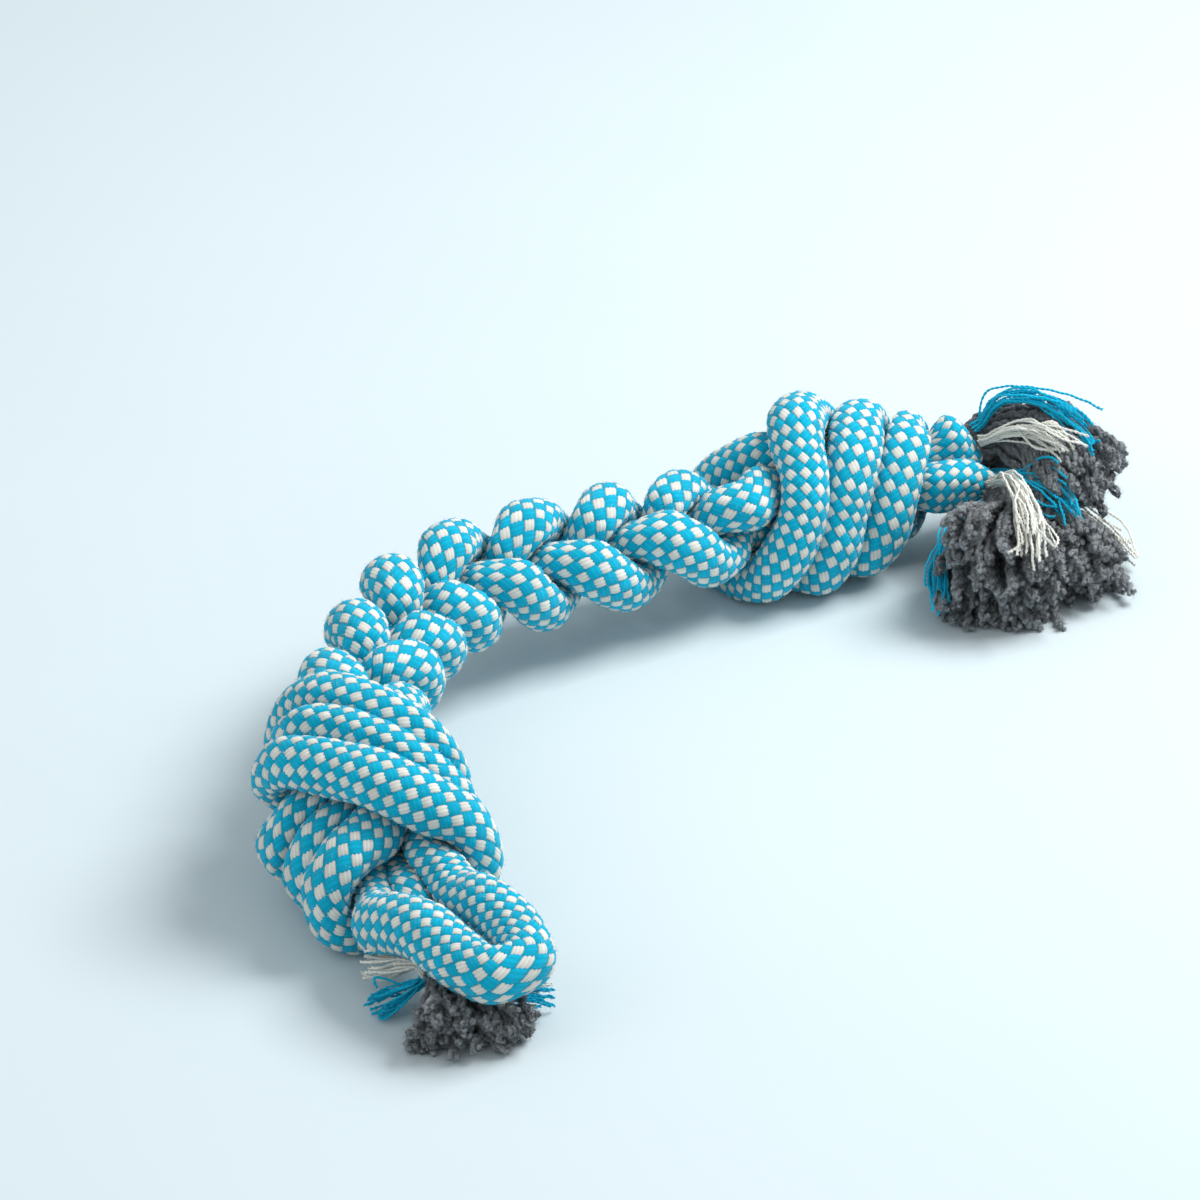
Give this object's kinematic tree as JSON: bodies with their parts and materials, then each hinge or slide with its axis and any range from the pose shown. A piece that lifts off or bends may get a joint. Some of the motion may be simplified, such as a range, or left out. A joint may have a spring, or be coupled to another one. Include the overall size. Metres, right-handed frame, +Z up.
{
  "type": "rope dog toy",
  "caption": "Plaited cotton rope tug toy with a tight overhand knot at each end, a small rope loop at one end and frayed yarn tufts where the ropes are cut.",
  "frame": {"origin": "on the floor that the toy lies on, under the middle of its outline", "axes": "+Z up from the floor, +Y from the loop's end towards the far knot, +X to the right as seen from the loop's end"},
  "size_m": [0.2852, 0.3476, 0.0661],
  "materials": {
    "cover": "matte braided cotton, bright blue one way and pale beige the other",
    "core": "matte fuzzy charcoal cotton yarn with pale flecks",
    "blue_yarn": "matte bright blue cotton yarn",
    "beige_yarn": "matte pale beige cotton yarn"
  },
  "bodies": {
    "plait": {"plait_strand_1_near_cover": "cover", "plait_strand_1_near_core": "core", "plait_strand_1_middle_cover": "cover", "plait_strand_1_middle_core": "core", "plait_strand_1_far_cover": "cover", "plait_strand_1_far_core": "core", "plait_strand_2_near_cover": "cover", "plait_strand_2_near_core": "core", "plait_strand_2_middle_cover": "cover", "plait_strand_2_middle_core": "core", "plait_strand_2_far_cover": "cover", "plait_strand_2_far_core": "core", "plait_strand_3_near_cover": "cover", "plait_strand_3_near_core": "core", "plait_strand_3_middle_cover": "cover", "plait_strand_3_middle_core": "core", "plait_strand_3_far_cover": "cover", "plait_strand_3_far_core": "core"},
    "near_knot": {"near_knot_strand_1_cover": "cover", "near_knot_strand_1_core": "core", "near_knot_strand_2_cover": "cover", "near_knot_strand_2_core": "core", "near_knot_strand_3_cover": "cover", "near_knot_strand_3_core": "core"},
    "far_knot": {"far_knot_strand_1_cover": "cover", "far_knot_strand_1_core": "core", "far_knot_strand_2_cover": "cover", "far_knot_strand_2_core": "core", "far_knot_strand_3_cover": "cover", "far_knot_strand_3_core": "core"},
    "loop": {"loop_right_leg_cover": "cover", "loop_right_leg_core": "core", "loop_bow_cover": "cover", "loop_bow_core": "core", "loop_left_leg_cover": "cover", "loop_left_leg_core": "core"},
    "near_tuft": {"near_tail_cover": "cover", "near_tail_core": "core", "near_core_yarns": "core", "near_blue_yarns_1": "blue_yarn", "near_blue_yarns_2": "blue_yarn", "near_beige_yarns_1": "beige_yarn", "near_beige_yarns_2": "beige_yarn"},
    "far_tuft": {"far_tail_1_cover": "cover", "far_tail_1_core": "core", "far_tail_2_cover": "cover", "far_tail_2_core": "core", "far_tail_3_cover": "cover", "far_tail_3_core": "core", "far_core_yarns_1": "core", "far_core_yarns_2": "core", "far_core_yarns_3": "core", "far_blue_yarns_1": "blue_yarn", "far_blue_yarns_2": "blue_yarn", "far_blue_yarns_3": "blue_yarn", "far_beige_yarns_1": "beige_yarn", "far_beige_yarns_2": "beige_yarn", "far_beige_yarns_3": "beige_yarn"}
  },
  "joints": [
    {"name": "near_knot_bend", "type": "hinge", "parent": "plait", "child": "near_knot", "pos_m": [-0.10938, -0.01639, 0.03857], "axis": [0, 0, 1], "range_deg": [-30, 30], "deforming": ["plait_strand_1_near_cover", "plait_strand_1_near_core", "plait_strand_2_near_cover", "plait_strand_2_near_core", "plait_strand_3_near_cover", "plait_strand_3_near_core"]},
    {"name": "far_knot_bend", "type": "hinge", "parent": "plait", "child": "far_knot", "pos_m": [-0.01573, 0.09903, 0.0298], "axis": [0, 0, 1], "range_deg": [-30, 30], "deforming": ["plait_strand_1_far_cover", "plait_strand_1_far_core", "plait_strand_2_far_cover", "plait_strand_2_far_core", "plait_strand_3_far_cover", "plait_strand_3_far_core"]},
    {"name": "loop_lift", "type": "hinge", "parent": "near_knot", "child": "loop", "pos_m": [-0.08387, -0.13407, 0.0244], "axis": [-0.9831, -0.183, 0], "range_deg": [0, 50], "deforming": ["loop_right_leg_cover", "loop_right_leg_core", "loop_left_leg_cover", "loop_left_leg_core"]},
    {"name": "near_tuft_swing", "type": "hinge", "parent": "near_knot", "child": "near_tuft", "pos_m": [-0.08717, -0.13646, 0.0146], "axis": [0, 0, 1], "range_deg": [-20, 20], "deforming": ["near_tail_cover", "near_tail_core", "near_core_yarns", "near_blue_yarns_1", "near_blue_yarns_2", "near_beige_yarns_1", "near_beige_yarns_2"]},
    {"name": "far_tuft_lift", "type": "hinge", "parent": "far_knot", "child": "far_tuft", "pos_m": [0.08637, 0.15064, 0.0275], "axis": [-0.7317, -0.6816, 0], "range_deg": [0, 45], "deforming": ["far_tail_1_cover", "far_tail_1_core", "far_tail_2_cover", "far_tail_2_core", "far_tail_3_cover", "far_tail_3_core"]}
  ]
}
